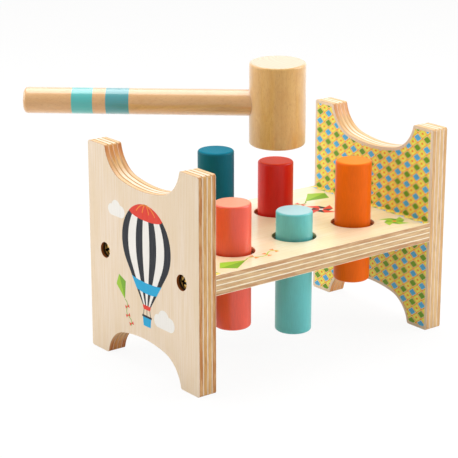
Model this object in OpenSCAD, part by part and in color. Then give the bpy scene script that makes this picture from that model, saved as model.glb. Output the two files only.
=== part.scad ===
// Toy workbench: a pounding bench with five friction-held pegs and a mallet.
// Millimetres, +Z up, +X along the bench, the front edge at -Y.
// The origin is on the floor, midway between the two end panels.

/* [Bench] */
// Length over both end panels
bench_length = 188; // [180:1:210]
// Depth, front edge to back edge
bench_depth = 108; // [104:1:125]
// Height of the end panels
panel_height = 128; // [120:1:150]
// Thickness of the plywood
ply = 12; // [11:0.5:14]
// Radius of the panels' outer corners
corner_r = 1.5; // [0.5:0.5:3]

/* [Notches] */
// Depth of the curved notch in a panel's top and bottom edge
notch_depth = 19.6; // [16:0.2:22]
// Radius of the notch's flat middle stretch
crown_r = 92; // [80:2:100]
// Radius of the notch's steeper end stretches
end_r = 21; // [19:0.5:23]
// Angle from the notch's middle to where the end stretches start
blend_angle = 13; // [11:0.5:16]
// Rounding where a notch meets the panel's edge
horn_r = 1.5; // [1:0.5:3]

/* [Peg holes] */
// Diameter of a peg hole
hole_d = 26; // [25:0.5:28]
// Distance between holes of one row
hole_pitch = 46.5; // [45:0.5:48]
// Distance from the bench's middle line to each row
row_offset = 23; // [20:0.5:26]
// Chamfer round each end of a hole
hole_chamfer = 0.6; // [0.2:0.1:1]

/* [Pegs] */
// Diameter of a peg
peg_d = 22; // [21:0.5:23]
// Length of a peg
peg_length = 75; // [72:1:80]
// Rounding of a peg's ends
peg_round = 1.5; // [0.5:0.25:3]
// How far each peg stands above the plank: coral, light teal, orange, dark teal, red
peg_stand = [29, 16, 39, 47, 33]; // [5:1:50]

/* [Grip rings] */
// Thickness of the rubber ring in each hole
ring_d = 4; // [3.5:0.1:4.5]
// Running clearance between ring and peg
ring_clearance = 0.05; // [0.02:0.01:0.1]

/* [Fasteners] */
// Distance between the two screws of one panel
screw_spread = 76; // [70:1:80]
// Diameter of a screw's thread
screw_d = 4; // [3.5:0.5:4.5]
// Length of a screw under its head
screw_length = 29; // [26:1:30]
// Depth of the counterbore that takes a screw's head
counterbore_depth = 4; // [3:0.5:5]
// Diameter of that counterbore
counterbore_d = 9.4; // [9:0.2:10]
// Distance between the two dowels of one joint
dowel_spread = 32; // [28:1:40]
// Diameter of a dowel
dowel_d = 6; // [5:1:7]
// Length of a dowel
dowel_length = 20; // [16:1:22]

/* [Mallet] */
// Diameter of the mallet's head
head_d = 34.8; // [32:0.2:40]
// Length of the mallet's head
head_length = 51.5; // [46:0.5:60]
// Diameter of the handle
handle_d = 16.2; // [14:0.2:18]
// Reach of the handle's free end from the middle of the head
handle_reach = 156; // [120:1:170]
// Compass direction of the handle, counterclockwise from +X
mallet_heading = 139; // [125:1:145]
// Lean of the head about the handle's axis
mallet_lean = -2.5; // [-8:0.5:8]
// Height of the head's middle above the red peg's top
mallet_lift = 36; // [34:1:60]

/* [Hidden] */
// facets of a circle
$fn = 96;
// overlap that keeps cutting tools clear of the faces they cut
eps = 1;
plank_length = bench_length - 2 * ply;
plank_z = panel_height / 2;
plank_top = plank_z + ply / 2;
// row and column of each peg hole, in the order of peg_stand
HOLES = [
    [-hole_pitch, -row_offset],
    [0, -row_offset],
    [hole_pitch, -row_offset],
    [-hole_pitch / 2, row_offset],
    [hole_pitch / 2, row_offset],
];
PEG_NODES = ["peg_coral", "peg_light_teal", "peg_orange", "peg_dark_teal", "peg_red"];
PEG_COLOURS = ["#d9603f", "#7fbdb5", "#e06a1c", "#0b6273", "#c62a26"];
RED = 4;
RING_NODES = ["grip_ring_front_left", "grip_ring_front_middle", "grip_ring_front_right",
              "grip_ring_back_left", "grip_ring_back_right"];
// side (-1 left, 1 right) and row (-1 front, 1 back) of each fastener
CORNERS = [[-1, -1], [-1, 1], [1, -1], [1, 1]];
SCREW_NODES = ["screw_left_front", "screw_left_back", "screw_right_front", "screw_right_back"];
SCREW_TURNS = [9, 65, 52, 8];
DOWEL_NODES = ["dowel_left_front", "dowel_left_back", "dowel_right_front", "dowel_right_back"];
// the ring's middle line, which puts its inner side just off the peg
ring_r = peg_d / 2 + ring_clearance + ring_d / 2;
groove_r = ring_r + ring_d / 2;
// screw head and thread
screw_head_d = 8.4;
screw_head_h = 2.6;
screw_core_d = screw_d - 1.2;
thread_pitch = 1.8;
thread_turns = 9;
recess_long = 6;
recess_wide = 1.6;
recess_deep = 1.8;
// how far the screw reaches into the plank
screw_reach = screw_length - (ply - counterbore_depth);
// dowels: two fifths in the panel, the rest in the plank
dowel_in_panel = dowel_length * 0.4;
dowel_chamfer = 0.8;
// the handle's blind hole in the head, and its rounding
handle_seat = 6;
head_round = 1.5;
handle_round = 2.5;
mallet_pos = [HOLES[RED][0] + 1, HOLES[RED][1], plank_top + peg_stand[RED] + mallet_lift];
PLYWOOD = "#e8d3bd";

// a round rod standing on the origin, with rounded ends
module rounded_rod(d, length, low_round, high_round) {
    rotate_extrude() {
        translate([0, low_round]) square([d / 2, length - low_round - high_round]);
        square([d / 2 - low_round, low_round + eps]);
        translate([d / 2 - low_round, low_round]) circle(r = low_round);
        translate([0, length - high_round - eps]) square([d / 2 - high_round, high_round + eps]);
        translate([d / 2 - high_round, length - high_round]) circle(r = high_round);
    }
}

// outline of the notch, seen with the panel's edge on the X axis and the panel above it
module notch() {
    crown_y = notch_depth - crown_r;
    end_x = (crown_r - end_r) * sin(blend_angle);
    end_y = crown_y + (crown_r - end_r) * cos(blend_angle);
    // a hair over a true tangent, so that the two arcs cross in one clean point
    run_r = end_r + 0.02;
    // the middle stretch
    intersection() {
        translate([0, crown_y]) circle(r = crown_r);
        translate([0, crown_y]) polygon([[0, 0], 2 * crown_r * [-sin(blend_angle), cos(blend_angle)],
                                         2 * crown_r * [sin(blend_angle), cos(blend_angle)]]);
    }
    for (side = [-1, 1]) {
        // an end stretch
        translate([side * end_x, end_y]) circle(r = run_r);
        // the rounded corner where it runs out at the edge
        mirror([side < 0 ? 1 : 0, 0]) horn(end_x, end_y, run_r);
    }
}

// what a rounded corner between an end stretch and the edge takes away
module horn(end_x, end_y, run_r) {
    reach = run_r + horn_r;
    horn_x = end_x + sqrt(reach * reach - (horn_r - end_y) * (horn_r - end_y));
    meet_x = end_x + (horn_x - end_x) * run_r / reach;
    meet_y = end_y + (horn_r - end_y) * run_r / reach;
    difference() {
        polygon([[horn_x, 0], [meet_x, meet_y], [meet_x - eps, meet_y], [meet_x - eps, -eps], [horn_x, -eps]]);
        translate([horn_x, horn_r]) circle(r = horn_r);
    }
}

// outline of an end panel in the Y-Z plane
module panel_outline() {
    difference() {
        translate([-bench_depth / 2, 0]) square([bench_depth, panel_height]);
        notch();
        translate([0, panel_height]) mirror([0, 1]) notch();
        for (side = [-1, 1], top = [0, 1])
            translate([side * bench_depth / 2, top * panel_height])
                mirror([side > 0 ? 1 : 0, 0]) mirror([0, top]) corner_waste();
    }
}

// what a rounded outer corner takes away
module corner_waste() {
    difference() {
        translate([-eps, -eps]) square(corner_r + eps);
        translate([corner_r, corner_r]) circle(r = corner_r);
    }
}

// a panel with its outer face at X = 0 and its inner face at X = ply
module panel() {
    difference() {
        rotate([90, 0, 90]) linear_extrude(ply) panel_outline();
        for (row = [-1, 1]) {
            translate([-eps, row * screw_spread / 2, plank_z]) rotate([0, 90, 0]) {
                cylinder(d = counterbore_d, h = counterbore_depth + eps);
                cylinder(d = screw_d + 0.2, h = ply + 2 * eps);
            }
            translate([ply - dowel_in_panel, row * dowel_spread / 2, plank_z])
                rotate([0, 90, 0]) cylinder(d = dowel_d, h = dowel_in_panel + eps);
        }
    }
}

// puts what is made for the left end at either end
module at_end(side) {
    mirror([side > 0 ? 1 : 0, 0, 0]) translate([-bench_length / 2, 0, 0]) children();
}

module left_panel() {
    color(PLYWOOD) at_end(-1) panel();
}

module right_panel() {
    color(PLYWOOD) at_end(1) panel();
}

module bench_plank() {
    color(PLYWOOD) difference() {
        translate([-plank_length / 2, -bench_depth / 2, plank_top - ply])
            cube([plank_length, bench_depth, ply]);
        for (at = HOLES) translate([at[0], at[1], plank_z]) peg_hole();
        for (corner = CORNERS) at_end(corner[0]) translate([ply - eps, 0, plank_z]) rotate([0, 90, 0]) {
            translate([0, corner[1] * screw_spread / 2, 0]) cylinder(d = screw_d, h = screw_reach + 2 * eps);
            translate([0, corner[1] * dowel_spread / 2, 0])
                cylinder(d = dowel_d, h = dowel_length - dowel_in_panel + eps);
        }
    }
}

// a through hole with a groove for the grip ring, centred on its middle
module peg_hole() {
    cylinder(d = hole_d, h = ply + 2 * eps, center = true);
    cylinder(r = groove_r, h = ring_d, center = true);
    for (end = [0, 1]) mirror([0, 0, end]) translate([0, 0, ply / 2 - hole_chamfer])
        cylinder(d1 = hole_d, d2 = hole_d + 4 * hole_chamfer, h = 2 * hole_chamfer);
}

module peg(i) {
    color(PEG_COLOURS[i])
        translate([HOLES[i][0], HOLES[i][1], plank_top + peg_stand[i] - peg_length])
            rounded_rod(peg_d, peg_length, peg_round, peg_round);
}

module grip_ring(i) {
    color("#3a3a3c") translate([HOLES[i][0], HOLES[i][1], plank_z])
        rotate_extrude() translate([ring_r, 0]) circle(d = ring_d);
}

// a cross-head wood screw pointing along +Z, with the underside of its head at the origin
module screw() {
    difference() {
        intersection() {
            translate([0, 0, -screw_head_h]) cylinder(d = screw_head_d, h = screw_head_h);
            translate([0, 0, screw_head_d - screw_head_h]) sphere(r = screw_head_d);
        }
        for (turn = [0, 90]) rotate([0, 0, turn])
            translate([-recess_long / 2, -recess_wide / 2, -screw_head_h - eps])
                cube([recess_long, recess_wide, recess_deep + eps]);
    }
    thread_start = screw_length - thread_pitch * (thread_turns + 1);
    rotate_extrude() {
        polygon(concat(
            [[0, -eps], [screw_core_d / 2, -eps], [screw_core_d / 2, thread_start]],
            [for (turn = [0:thread_turns - 1]) each [
                [screw_d / 2, thread_start + (turn + 0.5) * thread_pitch],
                [screw_core_d / 2, thread_start + (turn + 1) * thread_pitch]
            ]],
            [[0, screw_length]]
        ));
    }
}

module placed_screw(i) {
    color("#b9913f") at_end(CORNERS[i][0])
        translate([counterbore_depth, CORNERS[i][1] * screw_spread / 2, plank_z])
            rotate([0, 90, 0]) rotate([0, 0, SCREW_TURNS[i]]) screw();
}

// a wooden dowel with chamfered ends
module dowel(i) {
    color("#dcb98a") at_end(CORNERS[i][0])
        translate([ply - dowel_in_panel, CORNERS[i][1] * dowel_spread / 2, plank_z]) rotate([0, 90, 0]) {
            cylinder(d1 = dowel_d - 2 * dowel_chamfer, d2 = dowel_d, h = dowel_chamfer);
            translate([0, 0, dowel_chamfer]) cylinder(d = dowel_d, h = dowel_length - 2 * dowel_chamfer);
            translate([0, 0, dowel_length - dowel_chamfer])
                cylinder(d1 = dowel_d, d2 = dowel_d - 2 * dowel_chamfer, h = dowel_chamfer);
        }
}

// the mallet's own frame: the head's middle at the origin, the handle along +X
module mallet_pose() {
    translate(mallet_pos) rotate([0, 0, mallet_heading]) rotate([mallet_lean, 0, 0]) children();
}

module mallet_head() {
    color("#dcae76") mallet_pose() difference() {
        translate([0, 0, -head_length / 2]) rounded_rod(head_d, head_length, head_round, head_round);
        translate([-handle_seat, 0, 0]) rotate([0, 90, 0]) cylinder(d = handle_d, h = head_d);
    }
}

module mallet_handle() {
    color("#d9a970") mallet_pose() translate([-handle_seat, 0, 0]) rotate([0, 90, 0])
        rounded_rod(handle_d, handle_reach + handle_seat, 1, handle_round);
}

left_panel();
right_panel();
bench_plank();
for (i = [0:4]) peg(i);
for (i = [0:4]) grip_ring(i);
for (i = [0:3]) placed_screw(i);
for (i = [0:3]) dowel(i);
mallet_head();
mallet_handle();
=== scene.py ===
"""The looks of a toy workbench: a plywood pounding bench with five painted pegs and a beech mallet.

Every length is in millimetres until it goes into a mesh or a light or places the camera, which are
in metres. +X runs along the bench, -Y is its front, +Z is up and the origin is on the floor.
"""

from math import asin, cos, pi, radians, sin, tan, tau

import bmesh
import bpy
from mathutils import Matrix, Vector


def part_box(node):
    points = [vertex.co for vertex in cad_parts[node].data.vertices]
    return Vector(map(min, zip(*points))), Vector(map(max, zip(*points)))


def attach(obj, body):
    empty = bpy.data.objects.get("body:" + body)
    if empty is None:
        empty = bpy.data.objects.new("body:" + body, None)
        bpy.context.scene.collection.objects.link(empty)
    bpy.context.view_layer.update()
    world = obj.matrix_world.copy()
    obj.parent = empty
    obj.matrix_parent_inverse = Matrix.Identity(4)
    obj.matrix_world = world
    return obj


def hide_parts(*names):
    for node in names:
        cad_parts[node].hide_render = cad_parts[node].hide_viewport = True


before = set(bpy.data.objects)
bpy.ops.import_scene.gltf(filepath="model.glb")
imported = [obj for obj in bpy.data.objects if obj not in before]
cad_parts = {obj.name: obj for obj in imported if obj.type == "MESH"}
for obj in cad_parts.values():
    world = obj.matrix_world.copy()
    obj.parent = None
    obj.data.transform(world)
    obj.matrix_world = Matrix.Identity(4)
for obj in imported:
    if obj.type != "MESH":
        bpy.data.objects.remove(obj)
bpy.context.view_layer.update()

MM = 0.001
# the numbers of an object's axes
X, Y, Z = range(3)

# ---------------------------------------------------------------- sizes

BENCH = "bench"
PLANK = "bench_plank"


def corners(node):
    """A node's lowest and highest corner in millimetres."""
    low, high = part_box(node)
    return low / MM, high / MM


LEFT_LOW, LEFT_HIGH = corners("left_panel")
RIGHT_LOW, RIGHT_HIGH = corners("right_panel")
PLANK_LOW, PLANK_HIGH = corners(PLANK)
PANEL_HALF_DEPTH = LEFT_HIGH.y
MID_HEIGHT = LEFT_HIGH.z / 2

# plywood: a face veneer, then thick and thin layers in turn, then the other veneer
VENEER = 0.3
THICK = 2.25
THIN = 0.8
LAYER_PAIR = THICK + THIN
PLY = LEFT_HIGH.x - LEFT_LOW.x

# the curved notch in the panels' top and bottom edges: a flat crown between two tight ends, which
# meet it at the angle BLEND
NOTCH_DEPTH = 19.6
CROWN_R = 92
END_R = 21
BLEND = radians(13)
# its steep ends go down to this depth, and the whole notch is this near the panel's middle
STEEP_DEPTH = 16.0
NOTCH_REACH = 41.0

# counterbored screw holes in the panels, at mid-height: from one to the other, how deep the
# counterbores are, and the radius within which the holes' walls are tinted, scorched brown near
# the mouth and darkening deeper in as painted shade
SCREW_SPREAD = 76
COUNTERBORE = 4.0
HOLE_WALL_R = 5.2
# a screw's domed head: how far its top is under the panel's face, and the radius of its dome and of
# its cross recess
HEAD_SUNK = 1.4
DOME_R = 8.4
RECESS_R = 3.2

# the mallet's own axes: the handle along +X, the head along Z, the head's middle at the origin
MALLET_HEADING = radians(139)
MALLET_LEAN = radians(-2.5)
HEAD_LOW, HEAD_HIGH = corners("mallet_head")
HANDLE_R = 8.1
# painted bands: how far each starts and ends from the head's middle, and its hue
BANDS = ((90.7, 105.0, "#1F8F96"), (113.0, 126.0, "#2BAEAA"))

# how far the tree's middle is off the axes of what is turned from it
PEG_PITH = (31.0, 22.0)
MALLET_PITH = (38.0, 27.0)
DOWEL_PITH = (14.0, 9.0)

# how far the boards' edges are sanded back
EASING = 0.45
# how far a sheet of ink goes into its board, and how far each layer stands out of it
SUNK = 0.02
INK = 0.012

# ---------------------------------------------------------------- hues

# birch seen along its fibres: pale, warm and dark; the plank's are paler and yellower than the
# panels', which is painted light on its top face
PANEL_FACE = ("#E3D2BF", "#DBC4A2", "#B8906A")
PLANK_FACE_LIT = ("#F3E5C6", "#EAD5A6", "#C29A66")
# birch layers seen end on: light, dark, the two outermost and the thin ones; the left panel's are
# darker and oranger and the right panel's paler, as painted shade and painted light on one birch
LEFT_ENDS_SHADED = ("#D8AE70", "#C89452", "#AC6326", "#A5742E")
RIGHT_ENDS_LIT = ("#E2C394", "#D3AA74", "#CC9C66", "#C2924F")
PLANK_ENDS = ("#D0A872", "#B8894D", "#B27A3F", "#A8783A")
# what marks them: the outermost layers' tinge, lines, pale patches, specks, knots and glue
OUTER_TINGE = "#CE9C56"
LAYER_LINE = "#9A6228"
PALE_PATCH = "#E2C08A"
END_SPECK = "#A26C34"
KNOT = "#6E451F"
GLUE = "#8E5F35"
# scorched wood near the mouth of a screw hole, and near black deep in it, which is painted shade
SCORCH_AND_HOLE_SHADE = ("#8F4C17", "#1A0C05")
# how much of the wood's red, green and blue is left on the notches' steep ends by their painted
# shade
NOTCH_SHADE_TINT = (0.98, 0.74, 0.56)

# beech: light and deep, for the mallet's head and for its handle
HEAD_TONES = ("#DDB062", "#CE9849")
HANDLE_TONES = ("#D8A86D", "#CF9A5A")
BEECH_RING = "#B47C3E"
BEECH_FLECK = "#A9743C"
# its end grain, between the rings and on them, and the pores there
BEECH_END = ("#D6B07C", "#C89E66")
BEECH_PORE = "#B5905E"
JOINT_SHADOW = "#6B401C"

# each peg's paint: its name, its hue on the side and on the ends, and its gloss; the ends' hues are
# paler partly because end grain takes the paint so and partly as painted light from above, and the
# red peg's top is painted brighter still, as painted light where the mallet shades it
PEGS = {
    "peg_coral": ("coral paint", "#EA4A2A", "#DA9579", 0.8),
    "peg_light_teal": ("light teal paint", "#5ABFC0", "#A9C7CA", 0.65),
    "peg_orange": ("orange paint", "#F26A06", "#DB862E", 0.12),
    "peg_dark_teal": ("dark teal paint", "#066072", "#0E7086", 0.1),
    "peg_red": ("red paint", "#DA1C0C", "#FF5C3C", 0.32),
}

# printing inks for the pictures
INKS = {
    "navy": "#20242C",
    "white": "#E8E5DF",
    "red": "#D93A29",
    "orange": "#E88434",
    "cyan": "#1AA0CE",
    "lime": "#98C036",
    "green": "#74A428",
}

# ---------------------------------------------------------------- shader helpers


def colour(text):
    """A hex colour as the linear RGBA that shaders want."""
    channels = [int(text[i : i + 2], 16) / 255 for i in (1, 3, 5)]
    linear = [c / 12.92 if c <= 0.04045 else ((c + 0.055) / 1.055) ** 2.4 for c in channels]
    return (*linear, 1.0)


def shade(base, factor, lift=0.0):
    """A linear colour whose channels are multiplied by factor and raised by lift."""
    return tuple(c * factor + lift for c in base[:3]) + (1.0,)


class Shader:
    """A new material, with short calls that add nodes to it and return their output."""

    def __init__(self, name, roughness=0.5):
        self.material = bpy.data.materials.new(name)
        self.material.use_nodes = True
        self.tree = self.material.node_tree
        self.surface = self.tree.nodes["Principled BSDF"]
        self.surface.inputs["Roughness"].default_value = roughness

    def feed(self, socket, value):
        """Links a socket to another, or sets it to a value."""
        if isinstance(value, bpy.types.NodeSocket):
            self.tree.links.new(value, socket)
        else:
            socket.default_value = value

    def node(self, kind, inputs, **settings):
        """A new node with those settings, fed with those inputs."""
        made = self.tree.nodes.new("ShaderNode" + kind)
        for setting, value in settings.items():
            setattr(made, setting, value)
        for socket, value in inputs.items():
            self.feed(made.inputs[socket], value)
        return made

    def math(self, operation, *values):
        return self.node("Math", dict(enumerate(values)), operation=operation).outputs[0]

    def vector(self, operation, *values, scale=None):
        inputs = dict(enumerate(values))
        if scale is not None:
            inputs["Scale"] = scale
        return self.node("VectorMath", inputs, operation=operation).outputs[0]

    def parts(self, vector):
        return list(self.node("SeparateXYZ", {0: vector}).outputs)

    def join(self, x, y, z):
        return self.node("CombineXYZ", {0: x, 1: y, 2: z}).outputs[0]

    def step(self, value, low, high, start=0.0, end=1.0):
        """start below low, end above high, and a smooth change between them."""
        inputs = {"Value": value, "From Min": low, "From Max": high, "To Min": start, "To Max": end}
        return self.node("MapRange", inputs, interpolation_type="SMOOTHSTEP").outputs[0]

    def mix(self, share, a, b):
        """Colour a turning into colour b as share goes from 0 to 1."""
        return self.node("Mix", {0: share, 6: a, 7: b}, data_type="RGBA").outputs[2]

    def tint(self, under, over, where, strength):
        """Colour under with colour over laid on it as where goes from 0 to 1, at that strength."""
        return self.mix(self.math("MULTIPLY", where, strength), under, over)

    def blend(self, share, a, b):
        """Number a turning into number b as share goes from 0 to 1."""
        return self.node("Mix", {0: share, 2: a, 3: b}, data_type="FLOAT").outputs[0]

    def noise(self, vector, scale, detail=2.0, roughness=0.5, distortion=0.0):
        inputs = {"Vector": vector, "Scale": scale, "Detail": detail, "Roughness": roughness,
                  "Distortion": distortion}
        return self.node("TexNoise", inputs).outputs[0]

    def stretched(self, vector, stretch, scale, detail=2.0, roughness=0.5):
        """Noise drawn out along the axes where stretch is small."""
        return self.noise(self.vector("MULTIPLY", vector, stretch), scale, detail, roughness)

    def place(self):
        """Where a point is on its object, in millimetres."""
        where = self.node("TexCoord", {}).outputs["Object"]
        return self.vector("SCALE", where, scale=1 / MM)

    def facing(self):
        """Which way the surface faces on its object."""
        return self.node("TexCoord", {}).outputs["Normal"]

    def turned_back(self, vector, turn, middle=(0, 0, 0)):
        """A vector as seen from a piece that is turned so, about that middle."""
        inputs = {"Vector": vector, "Location": middle, "Rotation": turn}
        return self.node("Mapping", inputs, vector_type="TEXTURE").outputs[0]

    def distance(self, first, second):
        """How far two offsets at right angles lead."""
        squares = [self.math("MULTIPLY", offset, offset) for offset in (first, second)]
        return self.math("SQRT", self.math("ADD", *squares))

    def bump(self, height, depth):
        """Raises the surface by height times depth, in millimetres."""
        bump = self.node("Bump", {"Height": height, "Distance": depth * MM})
        self.feed(self.surface.inputs["Normal"], bump.outputs[0])


# ---------------------------------------------------------------- materials


def plywood(name, along, across, through, start, face, ends, varnish, scorch_and_shade=False):
    """Birch plywood. along, across and through are the numbers of the object's axes along the face
    grain, across it and through the board, which starts at start on the last of them. face and ends
    are hues as listed above, and varnish is how much of it there is. The last flag says whether the
    screw holes' walls are scorched brown at the mouth and darken to near black deeper in, which is
    painted shade, and whether the notches' steep ends get a painted shade."""
    s = Shader(name)
    s.surface.inputs["Specular IOR Level"].default_value = 0.25
    s.surface.inputs["Coat Weight"].default_value = varnish
    s.surface.inputs["Coat IOR"].default_value = 1.7
    s.surface.inputs["Coat Roughness"].default_value = 0.2
    place, facing = s.parts(s.place()), s.parts(s.facing())
    at = s.join(place[along], place[across], place[through])
    facing = [s.math("ABSOLUTE", facing[axis]) for axis in (along, across, through)]
    depth = s.math("SUBTRACT", place[through], start)

    # layers, a little wavy
    wave = s.math("SUBTRACT", s.noise(at, 0.045, 1.0), 0.5)
    wavy = s.math("MULTIPLY_ADD", wave, 0.35, depth)
    count = s.math("DIVIDE", s.math("SUBTRACT", wavy, VENEER), LAYER_PAIR)
    within = s.math("FRACT", s.math("ADD", count, 1.0))
    share = THICK / LAYER_PAIR
    thick = s.math("SUBTRACT", s.step(within, 0.0, 0.03), s.step(within, share - 0.03, share))
    layer = s.math("ADD", s.math("FLOOR", count), thick)
    number = s.math("ADD", s.math("ROUND", s.math("MULTIPLY", layer, 2.0)), start)
    own = s.node("TexWhiteNoise", {"W": number}, noise_dimensions="1D").outputs[0]
    off_middle = s.math("ABSOLUTE", s.math("SUBTRACT", wavy, PLY / 2))
    outer_start = PLY / 2 - VENEER - THICK
    outermost = s.step(off_middle, outer_start - 0.1, outer_start + 0.1)
    end_on = s.step(s.blend(thick, facing[0], facing[1]), 0.2, 0.85)
    on_face = s.step(facing[2], 0.6, 0.9)
    on_edge = s.math("SUBTRACT", 1.0, on_face)

    # wood seen along its fibres, in both layer directions
    shifted = s.vector("ADD", at, s.join(s.math("MULTIPLY", own, 90.0), 0.0, 0.0))
    face_streaks = s.stretched(shifted, (0.025, 1.0, 0.3), 1.1, 5.0, 0.62)
    cross_streaks = s.stretched(shifted, (1.0, 0.03, 1.0), 1.6, 4.0, 0.6)
    streaks = s.blend(s.math("MULTIPLY", thick, on_edge), face_streaks, cross_streaks)
    pores = s.stretched(at, (0.09, 2.2, 2.2), 1.8, 2.0, 0.7)
    pore = s.math("MULTIPLY", s.step(pores, 0.63, 0.75), on_face)
    broad = s.stretched(at, (0.25, 1.0, 1.0), 0.05, 2.0)
    pale, warm, dark = [colour(hue) for hue in face]
    long_grain = s.mix(s.step(streaks, 0.36, 0.72), pale, warm)
    long_grain = s.tint(long_grain, warm, s.step(broad, 0.4, 0.65), 0.45)
    long_grain = s.tint(long_grain, dark, pore, 0.3)
    near_face = s.math("MULTIPLY", s.math("MULTIPLY", outermost, thick), on_edge)
    long_grain = s.tint(long_grain, colour(OUTER_TINGE), near_face, 0.6)

    # wood seen end on: fine lines run along each layer
    grain = s.noise(at, 2.4, 4.0, 0.7)
    lines = s.stretched(shifted, (0.035, 0.035, 1.0), 2.2, 3.0, 0.65)
    patches = s.stretched(shifted, (0.12, 0.12, 1.0), 0.6, 2.0)
    knots = s.step(s.stretched(shifted, (0.05, 0.05, 0.6), 1.1, 1.0), 0.7, 0.76)
    light_end, dark_end, outer_end, thin_end = [colour(hue) for hue in ends]
    end_grain = s.mix(own, light_end, dark_end)
    end_grain = s.tint(end_grain, outer_end, outermost, 0.75)
    end_grain = s.tint(end_grain, colour(LAYER_LINE), s.step(lines, 0.45, 0.7), 0.5)
    end_grain = s.tint(end_grain, colour(PALE_PATCH), s.step(patches, 0.42, 0.62), 0.4)
    end_grain = s.tint(end_grain, colour(END_SPECK), s.step(grain, 0.5, 0.8), 0.3)
    end_grain = s.tint(end_grain, colour(KNOT), knots, 0.6)
    end_grain = s.mix(s.blend(thick, 0.85, 0.0), end_grain, thin_end)

    wood = s.mix(end_on, long_grain, end_grain)
    # glue between the layers shows as a thin dark line
    off_line = s.math("MINIMUM", s.math("PINGPONG", within, 0.5),
                      s.math("ABSOLUTE", s.math("SUBTRACT", within, share)))
    patchy = s.step(s.stretched(at, (0.15, 0.15, 0.5), 1.0), 0.3, 0.65, 0.15, 0.75)
    glue = s.math("MULTIPLY", s.step(off_line, 0.015, 0.055, 1.0, 0.0), on_edge)
    glue = s.math("MULTIPLY", glue, patchy)
    wood = s.mix(glue, wood, colour(GLUE))
    if scorch_and_shade:
        # the drill has scorched the walls of the screw holes brown near the mouth; deeper in they
        # darken to near black, which is painted shade
        off_axis = [s.math("SUBTRACT", s.math("ABSOLUTE", place[across]), SCREW_SPREAD / 2),
                    s.math("SUBTRACT", place[along], MID_HEIGHT)]
        hole_wall = s.step(s.distance(*off_axis), HOLE_WALL_R - 0.4, HOLE_WALL_R, 1.0, 0.0)
        hole_wall = s.math("MULTIPLY", hole_wall, on_edge)
        sunk = s.math("SUBTRACT", RIGHT_HIGH.x, s.math("ABSOLUTE", place[through]))
        mouth, hole_shade = [colour(hue) for hue in SCORCH_AND_HOLE_SHADE]
        wood = s.mix(hole_wall, wood, s.mix(s.step(sunk, 0.3, 2.4), mouth, hole_shade))
        # the steep ends of the notches are darkened and browned: painted shade
        from_edge = s.math("SUBTRACT", MID_HEIGHT, s.math("ABSOLUTE", off_axis[1]))
        from_middle = s.math("ABSOLUTE", place[across])
        high = s.step(from_edge, STEEP_DEPTH - 4.0, STEEP_DEPTH, 1.0, 0.0)
        inside = s.step(from_middle, NOTCH_REACH - 2.0, NOTCH_REACH, 1.0, 0.0)
        steep = s.step(facing[1], 0.74, 0.96)
        notch_shade = s.math("MULTIPLY", s.math("MULTIPLY", high, inside), steep)
        wood = s.mix(notch_shade, wood, s.vector("MULTIPLY", wood, NOTCH_SHADE_TINT))
    s.feed(s.surface.inputs["Base Color"], wood)
    s.feed(s.surface.inputs["Roughness"], s.blend(streaks, s.blend(on_face, 0.62, 0.42), 0.62))
    s.bump(s.math("SUBTRACT", s.blend(end_on, streaks, grain), s.math("MULTIPLY", glue, 0.6)), 0.05)
    return s.material


def turned(s, at, pith):
    """Growth rings and fibre streaks of a turned piece. at has its X along the fibres, and pith is
    how far off the tree's middle is across them."""
    bend = s.stretched(at, (0.02, 1.0, 1.0), 0.06, 2.0)
    _, y, z = s.parts(at)
    from_pith = s.distance(s.math("ADD", y, pith[0]), s.math("ADD", z, pith[1]))
    wavy = s.math("MULTIPLY_ADD", bend, 7.0, from_pith)
    rings = s.step(s.math("FRACT", s.math("DIVIDE", wavy, 2.6)), 0.1, 0.95)
    streaks = s.stretched(at, (0.05, 1.0, 1.0), 1.3, 5.0, 0.65)
    return rings, streaks


def paint(name, hue, end_hue_and_top_light, gloss):
    """Satin paint on a turned beech peg whose fibres run along Z. Its ends, which drink the paint,
    have a paler hue of their own and are duller; that hue also holds painted light from above."""
    s = Shader(name)
    x, y, z = s.parts(s.place())
    at = s.join(z, x, y)
    rings, streaks = turned(s, at, PEG_PITH)
    fine = s.stretched(at, (0.06, 1.0, 1.0), 3.2, 3.0, 0.6)
    cloud = s.noise(at, 0.09, 2.0)
    base = colour(hue)
    darker, lighter = shade(base, 0.88), shade(base, 0.95, 0.012)
    tone = s.mix(s.step(fine, 0.35, 0.75), base, darker)
    tone = s.tint(tone, lighter, s.step(streaks, 0.5, 0.75), 0.3)
    tone = s.tint(tone, darker, s.step(cloud, 0.4, 0.7), 0.3)
    facing = s.parts(s.facing())
    end = s.step(s.math("ABSOLUTE", facing[Z]), 0.6, 0.95)
    # the ends' paler hue: partly end grain drinking the paint, partly painted light on the tops
    tone = s.tint(tone, colour(end_hue_and_top_light), end, 0.92)
    s.feed(s.surface.inputs["Specular IOR Level"], s.blend(end, gloss, gloss * 0.12))
    s.feed(s.surface.inputs["Base Color"], tone)
    s.feed(s.surface.inputs["Roughness"], s.blend(cloud, 0.3, 0.4))
    relief = s.math("ADD", s.math("MULTIPLY", streaks, 0.6), s.math("MULTIPLY", fine, 0.4))
    s.bump(s.math("MULTIPLY_ADD", rings, 0.2, relief), 0.04)
    return s.material


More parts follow.
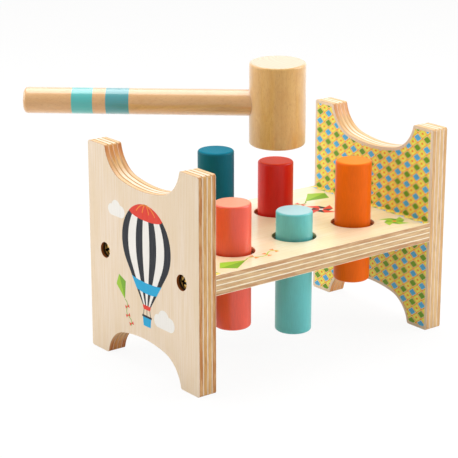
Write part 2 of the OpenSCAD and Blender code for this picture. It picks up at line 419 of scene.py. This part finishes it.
def beech(name, tones, fibres, pith, varnish, to_local=None, bands=(), joint=False):
    """Varnished beech. tones has its light and deep hues, fibres is the number of the axis that its
    fibres follow, and varnish is the coat's index of refraction. to_local turns the object's
    coordinates into the piece's own. bands are painted round it along X, and joint is whether the
    handle enters it there."""
    s = Shader(name)
    s.surface.inputs["Coat Weight"].default_value = 1.0
    s.surface.inputs["Coat Roughness"].default_value = 0.18
    s.surface.inputs["Coat IOR"].default_value = varnish
    s.surface.inputs["Specular IOR Level"].default_value = 0.1
    s.surface.inputs["Sheen Weight"].default_value = 0.65
    s.surface.inputs["Sheen Roughness"].default_value = 0.5
    where, normal = s.place(), s.facing()
    if to_local is not None:
        middle, turn = to_local
        where = s.turned_back(where, turn, middle)
        normal = s.turned_back(normal, turn)
    place, facing = s.parts(where), s.parts(normal)
    at = s.join(place[fibres], place[(fibres + 1) % 3], place[(fibres + 2) % 3])
    rings, streaks = turned(s, at, pith)
    light, deep = [colour(hue) for hue in tones]
    squeezed = s.vector("MULTIPLY", at, (0.35, 1.0, 1.0))
    figure = s.noise(squeezed, 0.2, 6.0, 0.68, 1.1)
    flecks = s.step(s.stretched(at, (0.22, 1.0, 1.0), 2.2, 2.0, 0.6), 0.54, 0.68)
    tone = s.mix(s.step(figure, 0.25, 0.78), light, deep)
    tone = s.tint(tone, deep, s.step(streaks, 0.3, 0.75), 0.35)
    tone = s.tint(tone, colour(BEECH_RING), rings, 0.1)
    tone = s.tint(tone, colour(BEECH_FLECK), flecks, 0.3)

    # end grain has plain rings and dark pores
    end = s.step(s.math("ABSOLUTE", facing[fibres]), 0.6, 0.9)
    pores = s.step(s.noise(at, 2.6, 2.0), 0.6, 0.7)
    end_grain = s.mix(rings, *[colour(hue) for hue in BEECH_END])
    end_grain = s.tint(end_grain, colour(BEECH_PORE), pores, 0.3)
    tone = s.mix(end, tone, end_grain)
    height = s.math("SUBTRACT", streaks, s.math("MULTIPLY", flecks, 0.4))
    for start, stop, hue in bands:
        inside = s.math("SUBTRACT", s.step(place[X], start - 0.15, start + 0.15),
                        s.step(place[X], stop - 0.15, stop + 0.15))
        base = colour(hue)
        band = s.mix(s.step(streaks, 0.35, 0.75), base, shade(base, 0.9, 0.02))
        tone = s.mix(inside, tone, band)
        height = s.math("MULTIPLY_ADD", inside, 0.8, height)
    if joint:
        # a painted shadow round the handle, darkening the head where the handle enters it
        from_handle = s.distance(place[Y], place[Z])
        joint_shade = s.math("MULTIPLY", s.step(from_handle, HANDLE_R, HANDLE_R + 0.5, 1.0, 0.0),
                      s.step(place[X], 0.0, 1.0))
        tone = s.tint(tone, colour(JOINT_SHADOW), joint_shade, 0.8)
    s.feed(s.surface.inputs["Base Color"], tone)
    s.feed(s.surface.inputs["Roughness"], s.blend(streaks, 0.4, 0.52))
    s.bump(height, 0.04)
    return s.material


def black_rubber():
    """The grip rings' rubber, slightly mottled and uneven."""
    s = Shader("black rubber")
    patches = s.noise(s.place(), 1.5, 4.0, 0.6)
    base = colour("#232325")
    tone = s.mix(s.step(patches, 0.3, 0.7), base, shade(base, 0.8))
    s.feed(s.surface.inputs["Base Color"], tone)
    s.feed(s.surface.inputs["Roughness"], s.blend(patches, 0.496, 0.744))
    s.bump(patches, 0.03)
    return s.material


def yellow_zinc():
    """Yellow zinc on the panels' screws, with near-black painted shade in their heads' cross
    recess.
    """
    s = Shader("yellow zinc", 0.3)
    s.surface.inputs["Metallic"].default_value = 0.8
    where = s.place()
    patches = s.noise(where, 1.2, 4.0, 0.6)
    x, y, z = s.parts(s.vector("ABSOLUTE", s.vector("SUBTRACT", where, (0, 0, MID_HEIGHT))))
    off_axis = s.distance(s.math("SUBTRACT", y, SCREW_SPREAD / 2), z)
    from_dome = s.distance(s.math("SUBTRACT", x, RIGHT_HIGH.x - HEAD_SUNK - DOME_R), off_axis)
    under_dome = s.step(from_dome, DOME_R - 0.5, DOME_R - 0.15, 1.0, 0.0)
    near_axis = s.step(off_axis, RECESS_R, RECESS_R + 0.2, 1.0, 0.0)
    bottom = RIGHT_HIGH.x - COUNTERBORE
    in_head = s.step(x, bottom, bottom + 0.2)
    # the cross recess is painted near black: painted shade
    recess_shade = s.math("MULTIPLY", s.math("MULTIPLY", under_dome, near_axis), in_head)
    plate = s.mix(s.step(patches, 0.3, 0.7), colour("#E0B963"), colour("#C29A4C"))
    s.feed(s.surface.inputs["Base Color"], s.mix(recess_shade, plate, colour("#0C0907")))
    s.bump(patches, 0.01)
    return s.material


def ink(name, hue, fibres):
    """Printing ink on a board. fibres is the number of the axis that the board's grain follows."""
    s = Shader(name)
    s.surface.inputs["Specular IOR Level"].default_value = 0.15
    stretch = [1.0, 1.0, 1.0]
    stretch[fibres] = 0.04
    streaks = s.stretched(s.place(), stretch, 1.5, 4.0, 0.65)
    base = colour(hue)
    tone = s.mix(s.step(streaks, 0.4, 0.8), base, shade(base, 0.86, 0.04))
    s.feed(s.surface.inputs["Base Color"], tone)
    s.feed(s.surface.inputs["Roughness"], s.blend(streaks, 0.36, 0.5))
    s.bump(streaks, 0.03)
    return s.material


def trellis(name, first, second):
    """A printed trellis of thin orange lines on yellow and cream. first and second are the numbers
    of the two axes that lie in the print."""
    s = Shader(name)
    s.surface.inputs["Specular IOR Level"].default_value = 0.25
    where = s.place()
    place = s.parts(where)
    width, height = 8.2, 6.2
    x = s.math("DIVIDE", place[first], width)
    y = s.math("DIVIDE", place[second], height)
    rising, falling = s.math("ADD", x, y), s.math("SUBTRACT", x, y)
    off = [s.math("ABSOLUTE", s.math("SUBTRACT", s.math("FRACT", slant), 0.5))
           for slant in (rising, falling)]
    from_middle = s.math("MAXIMUM", *off)
    mesh = s.math("ADD", s.math("FLOOR", rising), s.math("FLOOR", falling))
    odd = s.math("FLOORED_MODULO", mesh, 2.0)
    even = s.math("SUBTRACT", 1.0, odd)
    row = s.math("FLOORED_MODULO", s.math("FLOOR", rising), 2.0)
    streaks = s.stretched(where, (1.0, 1.0, 0.05), 1.2, 4.0, 0.6)
    faded = s.step(streaks, 0.35, 0.7)
    cream = s.mix(faded, colour("#FAF8BE"), colour("#F0F094"))
    yellow = s.mix(faded, colour("#F0EA6C"), colour("#E2E054"))
    orange, blue, green = colour("#EE7C22"), colour("#52AEDF"), colour("#6E9E2A")
    tone = s.mix(odd, yellow, cream)
    # a small orange stud in each yellow mesh, and a blue or green diamond in each cream one
    tone = s.mix(s.math("MULTIPLY", s.step(from_middle, 0.12, 0.14, 1.0, 0.0), even), tone, orange)
    diamond = s.math("MULTIPLY", s.step(from_middle, 0.38, 0.395, 1.0, 0.0), odd)
    tone = s.mix(diamond, tone, s.mix(row, blue, green))
    tone = s.mix(s.step(from_middle, 0.45, 0.46), tone, orange)
    s.feed(s.surface.inputs["Base Color"], tone)
    s.feed(s.surface.inputs["Roughness"], s.blend(streaks, 0.42, 0.52))
    s.bump(streaks, 0.03)
    return s.material


# ---------------------------------------------------------------- pieces


def keep(piece, material, stands_for=None):
    """Gives a new piece that material and makes it part of the bench; it may stand for a CAD node,
    which is then hidden.
    """
    piece.data.materials.clear()
    piece.data.materials.append(material)
    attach(piece, BENCH)
    if stands_for:
        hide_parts(stands_for)
    return piece


def refinish(node, material):
    """Gives a CAD node, which stays as it is, its looks."""
    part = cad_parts[node]
    part.data.materials.clear()
    part.data.materials.append(material)


def piece_from(name, bm):
    """A new object with that mesh, which isn't used again."""
    mesh = bpy.data.meshes.new(name)
    bm.to_mesh(mesh)
    bm.free()
    piece = bpy.data.objects.new(name, mesh)
    bpy.context.scene.collection.objects.link(piece)
    return piece


def even_normals(piece):
    """Smooth shading on bends, and true flats beside them."""
    piece.data.shade_smooth()
    piece.data.set_sharp_from_angle(angle=radians(40))
    weighted = piece.modifiers.new("flats stay flat", "WEIGHTED_NORMAL")
    weighted.keep_sharp = True


def sort_by(elements, key):
    """Sorts a mesh's corners, edges or faces by key."""
    ranks = {element: rank for rank, element in enumerate(sorted(elements, key=key))}
    elements.sort(key=ranks.get)
    elements.index_update()


def put_in_order(bm):
    """Sorts a whole mesh by where it is, because a bevel leaves another order on each run."""
    sort_by(bm.verts, lambda vert: vert.co[:])
    for elements in (bm.edges, bm.faces):
        sort_by(elements, lambda element: sorted(vert.index for vert in element.verts))


def eased(node, material):
    """A board with its sharp edges sanded round, made from a CAD node, which it stands for."""
    bm = bmesh.new()
    bm.from_mesh(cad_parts[node].data)
    bmesh.ops.remove_doubles(bm, verts=bm.verts, dist=1e-6)
    bmesh.ops.dissolve_limit(bm, angle_limit=radians(0.05), verts=bm.verts, edges=bm.edges)
    sharp = [e for e in bm.edges if e.is_manifold and e.calc_face_angle() > radians(50)]
    bmesh.ops.bevel(bm, geom=sharp, offset=EASING * MM, offset_type="OFFSET", segments=3,
                    profile=0.5, affect="EDGES", clamp_overlap=True, loop_slide=False)
    bmesh.ops.triangulate(bm, faces=[f for f in bm.faces if len(f.verts) > 4])
    put_in_order(bm)
    piece = piece_from(node + "_board", bm)
    even_normals(piece)
    return keep(piece, material, stands_for=node)


class Surface:
    """A flat face to print on: its middle, the two directions on it and the way out of it."""

    def __init__(self, middle, right, up):
        self.middle, self.right, self.up = Vector(middle), Vector(right), Vector(up)
        self.out = self.right.cross(self.up)

    def at(self, point, height):
        """Where a point of the face is, in metres, raised out of it by height."""
        return (self.middle + self.right * point[0] + self.up * point[1] + self.out * height) * MM


def slab(name, outline, surface, layer=1):
    """A closed sheet of ink with that outline; a higher layer lies over a lower one."""
    bm = bmesh.new()
    low = [bm.verts.new(surface.at(point, -SUNK)) for point in outline]
    high = [bm.verts.new(surface.at(point, INK * layer)) for point in outline]
    bm.faces.new(high)
    bm.faces.new(reversed(low))
    for i, corner in enumerate(low):
        j = (i + 1) % len(low)
        bm.faces.new((corner, low[j], high[j], high[i]))
    bmesh.ops.recalc_face_normals(bm, faces=bm.faces)
    bmesh.ops.triangulate(bm, faces=[f for f in bm.faces if len(f.verts) > 4])
    return piece_from(name, bm)


def arc(middle, radius, start, end, steps):
    """Points on a stretch of a circle, or of an ellipse if radius is a pair; angles in degrees."""
    rx, ry = radius if isinstance(radius, tuple) else (radius, radius)
    angles = [radians(start + (end - start) * i / steps) for i in range(steps + 1)]
    return [(middle[0] + rx * cos(a), middle[1] + ry * sin(a)) for a in angles]


def notch_curve(inset):
    """The notch's edge moved into the wood by inset, from its +Y end to its -Y end. A point's first
    number is along the panel's edge and its second is the depth from that edge."""
    steps = 16
    crown_at = NOTCH_DEPTH - CROWN_R
    end_at = ((CROWN_R - END_R) * sin(BLEND), crown_at + (CROWN_R - END_R) * cos(BLEND))
    end_r, crown_r = END_R + inset, CROWN_R + inset
    blend = 90 - BLEND * 180 / pi
    first = asin((inset - end_at[1]) / end_r) * 180 / pi
    points = arc(end_at, end_r, first, blend, steps)
    points += arc((0, crown_at), crown_r, blend, 180 - blend, 2 * steps)[1:]
    return points + arc((-end_at[0], end_at[1]), end_r, 180 - blend, 180 - first, steps)[1:]


def printed_half(name, surface, material, upper):
    """The print on half of a panel's inner face, from the plank to a bare margin at the edge."""
    margin = 2.0
    side = PANEL_HALF_DEPTH - margin
    reach = MID_HEIGHT - margin
    plank = (PLANK_HIGH.z - PLANK_LOW.z) / 2
    outline = [(-side, plank), (side, plank), (side, reach)]
    outline += [(y, MID_HEIGHT - depth) for y, depth in notch_curve(margin)]
    outline.append((-side, reach))
    if not upper:
        outline = [(y, -z) for y, z in reversed(outline)]
    keep(slab(name, outline, surface), material)


class Picture:
    """Flat coloured shapes printed at a place on a surface, turned by so many degrees."""

    def __init__(self, name, surface, middle=(0, 0), turn=0, size=1.0):
        self.name, self.surface, self.size = name, surface, size
        self.middle = Vector(middle)
        self.turn = Matrix.Rotation(radians(turn), 2)

    def shape(self, name, outline, material, layer=1):
        """One colour's shape, with its outline in millimetres about the picture's middle."""
        placed = [self.middle + self.turn @ Vector(point) * self.size for point in outline]
        keep(slab(f"{self.name}_{name}", placed, self.surface, layer), material)

    def ribbon(self, name, path, width, material, layer=1):
        """A strip of even width along a path."""
        path = [Vector(point) for point in path]
        left, right = [], []
        for i, point in enumerate(path):
            along = (path[min(i + 1, len(path) - 1)] - path[max(i - 1, 0)]).normalized()
            side = Vector((-along.y, along.x)) * width / 2
            left.append(point + side)
            right.append(point - side)
        self.shape(name, left + right[::-1], material, layer)


def cloud(picture, name, middle, size, material):
    """A cloud of three bumps on a flat base; size is half its width."""
    bumps = (
        ((-0.6, 0.0), 0.4, 270, 110),
        ((-0.05, 0.2), 0.55, 160, 30),
        ((0.57, 0.03), 0.43, 70, -90),
    )
    outline = []
    for centre, radius, start, end in bumps:
        outline += arc(centre, radius, start, end, 12)
    placed = [(middle[0] + x * size, middle[1] + y * size) for x, y in outline]
    picture.shape(name, placed, material)


def kite(picture, light, dark, bow_ink, tail):
    """A two-coloured kite whose nose points up, with bows on a wavy tail."""
    nose, foot, wing = 8.0, -11.0, 6.5
    picture.shape("left_half", [(0, nose), (-wing, 1.5), (0, foot)], light)
    picture.shape("right_half", [(0, foot), (wing, 1.5), (0, nose)], dark)
    steps = 28
    path = [(1.8 * sin(tau * 1.5 * i / steps), foot - tail * i / steps) for i in range(steps + 1)]
    picture.ribbon("tail", path, 0.7, dark)
    for number, share in enumerate((0.3, 0.62, 0.94)):
        x, y = path[round(share * steps)]
        for side, reach in (("left", -2.6), ("right", 2.6)):
            bow = [(x, y), (x + reach, y + 1.5), (x + reach, y - 1.5)]
            picture.shape(f"bow_{number}_{side}", bow, bow_ink, 2)


def pinwheel(picture, light, dark, hub):
    """Four folded blades round a hub."""
    radius = 10.0
    half = radius / 2
    front, fold = [(0, 0), (0, radius), (half, half)], [(0, 0), (half, half), (half, 0)]
    for number in range(4):
        turn = Matrix.Rotation(pi / 2 * number, 2)
        for name, outline, material in (("front", front, light), ("fold", fold, dark)):
            turned_outline = [turn @ Vector(point) for point in outline]
            picture.shape(f"{name}_{number}", turned_outline, material)
    picture.shape("hub", arc((0, 0), radius * 0.13, 0, 345, 23), hub, 2)


def balloon(picture, inks):
    """A striped hot-air balloon with its basket, about the picture's middle."""
    crown, radius, slant, mouth = 13.0, 24.0, 35, 4.0
    taper = tan(radians(slant))
    widest_low = (radius * cos(radians(slant)), crown - radius * sin(radians(slant)))
    lowest = widest_low[1] - (widest_low[0] - mouth) / taper
    layers = ((1.0, "navy"), (0.74, "white"), (0.42, "navy"), (0.14, "white"))
    for layer, (share, hue) in enumerate(layers, 1):
        outline = arc((0, crown), (radius * share, radius), -slant, 180 + slant, 48)
        outline += [(-mouth * share, lowest), (mouth * share, lowest)]
        picture.shape(f"gore_{layer}", outline, inks[hue], layer)
    top = len(layers) + 1
    cap = 48
    edge = (radius * cos(radians(cap)), 3.2)
    outline = arc((0, crown), radius + 0.1, cap, 180 - cap, 24)
    outline += arc((0, crown + radius * sin(radians(cap))), edge, 180, 360, 16)[1:-1]
    picture.shape("cap", outline, inks["red"], top)
    for number, share in enumerate((-0.62, -0.22, 0.22, 0.62)):
        angles = [radians(angle) for angle in range(52, 90, 6)]
        rib = [(radius * share * cos(a), crown + radius * sin(a)) for a in angles]
        picture.ribbon(f"rib_{number}", rib, 0.7, inks["orange"], top + 1)
    high, low = lowest + 15.5, lowest + 9.0
    high_width, low_width = [mouth + 0.1 + (level - lowest) * taper for level in (high, low)]
    band = arc((0, low), (low_width, 1.8), 180, 360, 16)
    band += arc((0, high), (high_width, 1.8), 360, 180, 16)
    picture.shape("band", band, inks["cyan"], top)
    hem = lowest - 2.6
    skirt = [(-mouth, lowest), (mouth, lowest), (3.2, hem), (-3.2, hem)]
    picture.shape("skirt", skirt, inks["red"], top)
    rim = hem - 4.2
    for number, share in enumerate((-1, 0, 1)):
        rope = [(2.9 * share, hem), (3.6 * share, rim)]
        picture.ribbon(f"rope_{number}", rope, 0.5, inks["navy"])
    basket = [(-4.2, rim), (4.2, rim), (3.5, rim - 6.0), (-3.5, rim - 6.0)]
    picture.shape("basket", basket, inks["cyan"], 2)
    picture.ribbon("basket_rim", [(-4.7, rim), (4.7, rim)], 1.3, inks["navy"], 3)


# ---------------------------------------------------------------- build: boards

for side, start, ends in (("left", LEFT_LOW.x, LEFT_ENDS_SHADED), ("right", RIGHT_LOW.x, RIGHT_ENDS_LIT)):
    name = f"birch plywood, {side} panel"
    wood = plywood(name, Z, Y, X, start, PANEL_FACE, ends, varnish=0.15, scorch_and_shade=True)
    eased(side + "_panel", wood)
name = "birch plywood, plank"
eased(PLANK, plywood(name, X, Y, Z, PLANK_LOW.z, PLANK_FACE_LIT, PLANK_ENDS, varnish=1.0))

# ---------------------------------------------------------------- build: prints

LEFT_OUTER = Surface((LEFT_LOW.x, 0, MID_HEIGHT), (0, -1, 0), (0, 0, 1))
LEFT_INNER = Surface((LEFT_HIGH.x, 0, MID_HEIGHT), (0, 1, 0), (0, 0, 1))
RIGHT_INNER = Surface((RIGHT_LOW.x, 0, MID_HEIGHT), (0, -1, 0), (0, 0, 1))
PLANK_TOP = Surface((0, 0, PLANK_HIGH.z), (1, 0, 0), (0, 1, 0))

wall_print = trellis("trellis print on the panels", Y, Z)
for side, surface in (("left", LEFT_INNER), ("right", RIGHT_INNER)):
    printed_half(side + "_print_upper", surface, wall_print, True)
    printed_half(side + "_print_lower", surface, wall_print, False)

# the print goes on over a strip at each end of the plank
STRIP = 4.0
STRIP_HALF = PANEL_HALF_DEPTH - 1.0
strip_print = trellis("trellis print on the plank", Y, X)
for side, edge in (("left", PLANK_LOW.x), ("right", PLANK_HIGH.x - STRIP)):
    outline = [(edge, -STRIP_HALF), (edge + STRIP, -STRIP_HALF),
               (edge + STRIP, STRIP_HALF), (edge, STRIP_HALF)]
    keep(slab(side + "_plank_strip", outline, PLANK_TOP), strip_print)

panel_inks = {name: ink(name + " ink on the panel", hue, Z) for name, hue in INKS.items()}
plank_inks = {name: ink(name + " ink on the plank", hue, X) for name, hue in INKS.items()}

balloon(Picture("balloon", LEFT_OUTER, (4.0, 0.0)), panel_inks)
sky_picture = Picture("sky", LEFT_OUTER)
cloud(sky_picture, "cloud_low", (21.0, -29.0), 10.0, panel_inks["white"])
cloud(sky_picture, "cloud_high", (-25.5, 27.0), 8.5, panel_inks["white"])
panel_kite = Picture("panel_kite", LEFT_OUTER, (-21.5, -17.0), turn=22, size=0.8)
kite(panel_kite, panel_inks["lime"], panel_inks["green"], panel_inks["red"], tail=20.0)

back_kite = Picture("back_kite", PLANK_TOP, (66.0, 33.0), turn=-72, size=1.25)
kite(back_kite, plank_inks["lime"], plank_inks["green"], plank_inks["red"], tail=22.0)
front_kite = Picture("front_kite", PLANK_TOP, (-64.0, -44.0), turn=97, size=1.1)
kite(front_kite, plank_inks["green"], plank_inks["lime"], plank_inks["orange"], tail=24.0)
back_wheel = Picture("back_wheel", PLANK_TOP, (49.0, 9.0), turn=20, size=1.1)
pinwheel(back_wheel, plank_inks["red"], plank_inks["navy"], plank_inks["white"])
front_wheel = Picture("front_wheel", PLANK_TOP, (67.5, -38.0), turn=30)
pinwheel(front_wheel, plank_inks["lime"], plank_inks["green"], plank_inks["orange"])

# ---------------------------------------------------------------- build: pegs, mallet, fasteners

for node, (name, hue, end_hue_and_top_light, gloss) in PEGS.items():
    refinish(node, paint(name, hue, end_hue_and_top_light, gloss))

finishes = {
    "grip": black_rubber(),
    "screw": yellow_zinc(),
    "dowel": beech("dowel beech", HANDLE_TONES, X, DOWEL_PITH, varnish=1.45),
}
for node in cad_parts:
    finish = finishes.get(node.split("_")[0])
    if finish:
        refinish(node, finish)

mallet_turn = Matrix.Rotation(MALLET_HEADING, 3, "Z") @ Matrix.Rotation(MALLET_LEAN, 3, "X")
to_mallet = ((HEAD_LOW + HEAD_HIGH) / 2, mallet_turn.to_euler())
head_beech = beech("mallet head beech", HEAD_TONES, Z, MALLET_PITH, varnish=1.5,
                   to_local=to_mallet, joint=True)
handle_beech = beech("mallet handle beech", HANDLE_TONES, X, MALLET_PITH, varnish=1.7,
                     to_local=to_mallet, bands=BANDS)
refinish("mallet_head", head_beech)
refinish("mallet_handle", handle_beech)

# ---------------------------------------------------------------- stage, light and camera


def seen(nodes, links):
    """1 for rays from the camera, from gloss and through glass, which see a white surround."""
    paths = nodes.new("ShaderNodeLightPath")
    either = paths.outputs["Is Camera Ray"]
    for name in ("Is Glossy Ray", "Is Transmission Ray"):
        larger = nodes.new("ShaderNodeMath")
        larger.operation = "MAXIMUM"
        links.new(either, larger.inputs[0])
        links.new(paths.outputs[name], larger.inputs[1])
        either = larger.outputs[0]
    return either


def floor_material():
    """A pale floor, which looks white outside the object's shadow."""
    s = Shader("pale floor", 0.9)
    s.surface.inputs["Base Color"].default_value = colour("#F1EFEC")
    glow = s.node("Emission", {"Color": (1, 1, 1, 1), "Strength": 1.0}).outputs[0]
    # what is left beside the plain white takes the object's shadow
    white = 0.92
    share = s.math("MULTIPLY", seen(s.tree.nodes, s.tree.links), white)
    both = s.node("MixShader", {0: share, 1: s.surface.outputs[0], 2: glow}).outputs[0]
    s.feed(s.tree.nodes["Material Output"].inputs["Surface"], both)
    return s.material


def floor():
    """A floor wide enough to reach the horizon; half its width is in metres."""
    half = 12.0
    square = ((-half, -half), (half, -half), (half, half), (-half, half))
    bm = bmesh.new()
    bm.faces.new([bm.verts.new((x, y, 0)) for x, y in square])
    plane = piece_from("floor", bm)
    plane.data.materials.append(floor_material())


def lamp(name, power, size, place):
    """A soft square lamp of white light that faces the pegs. power is in watts, and size and place
    are in metres."""
    pegs = Vector((0, 0, 0.08))
    data = bpy.data.lights.new(name, "AREA")
    data.energy, data.size = power, size
    made = bpy.data.objects.new(name, data)
    made.location = place
    made.rotation_euler = (pegs - Vector(place)).to_track_quat("-Z", "Y").to_euler()
    bpy.context.scene.collection.objects.link(made)


def light_tent(strength):
    """Even white light from all round, at that strength on the object. The camera, gloss and glass
    see it white."""
    world = bpy.data.worlds.new("light tent")
    world.use_nodes = True
    bpy.context.scene.world = world
    nodes, links = world.node_tree.nodes, world.node_tree.links
    level = nodes.new("ShaderNodeMapRange")
    level.inputs["To Min"].default_value = strength
    level.inputs["To Max"].default_value = 1.0
    links.new(seen(nodes, links), level.inputs["Value"])
    links.new(level.outputs[0], nodes["Background"].inputs["Strength"])
    nodes["Background"].inputs["Color"].default_value = (1, 1, 1, 1)


def camera():
    """A long lens, a little above the bench and off its left front corner, which looks down and to
    the right by so many degrees."""
    down, right = 17.03, 37.83
    data = bpy.data.cameras.new("camera")
    data.sensor_width = 36.0
    data.lens = 130.4
    made = bpy.data.objects.new("camera", data)
    made.location = Vector((-608.2, -743.2, 362.5)) * MM
    made.rotation_euler = (radians(90 - down), 0, -radians(right))
    bpy.context.scene.collection.objects.link(made)
    bpy.context.scene.camera = made


floor()
light_tent(0.48)
lamp("overhead softbox", 13.0, 1.0, (0.15, 0.25, 1.05))
lamp("left softbox", 2.3, 0.5, (-0.6, 0.45, 0.4))
lamp("right softbox", 4.8, 0.5, (0.75, -0.5, 0.4))
camera()
bpy.context.scene.view_settings.view_transform = "Standard"
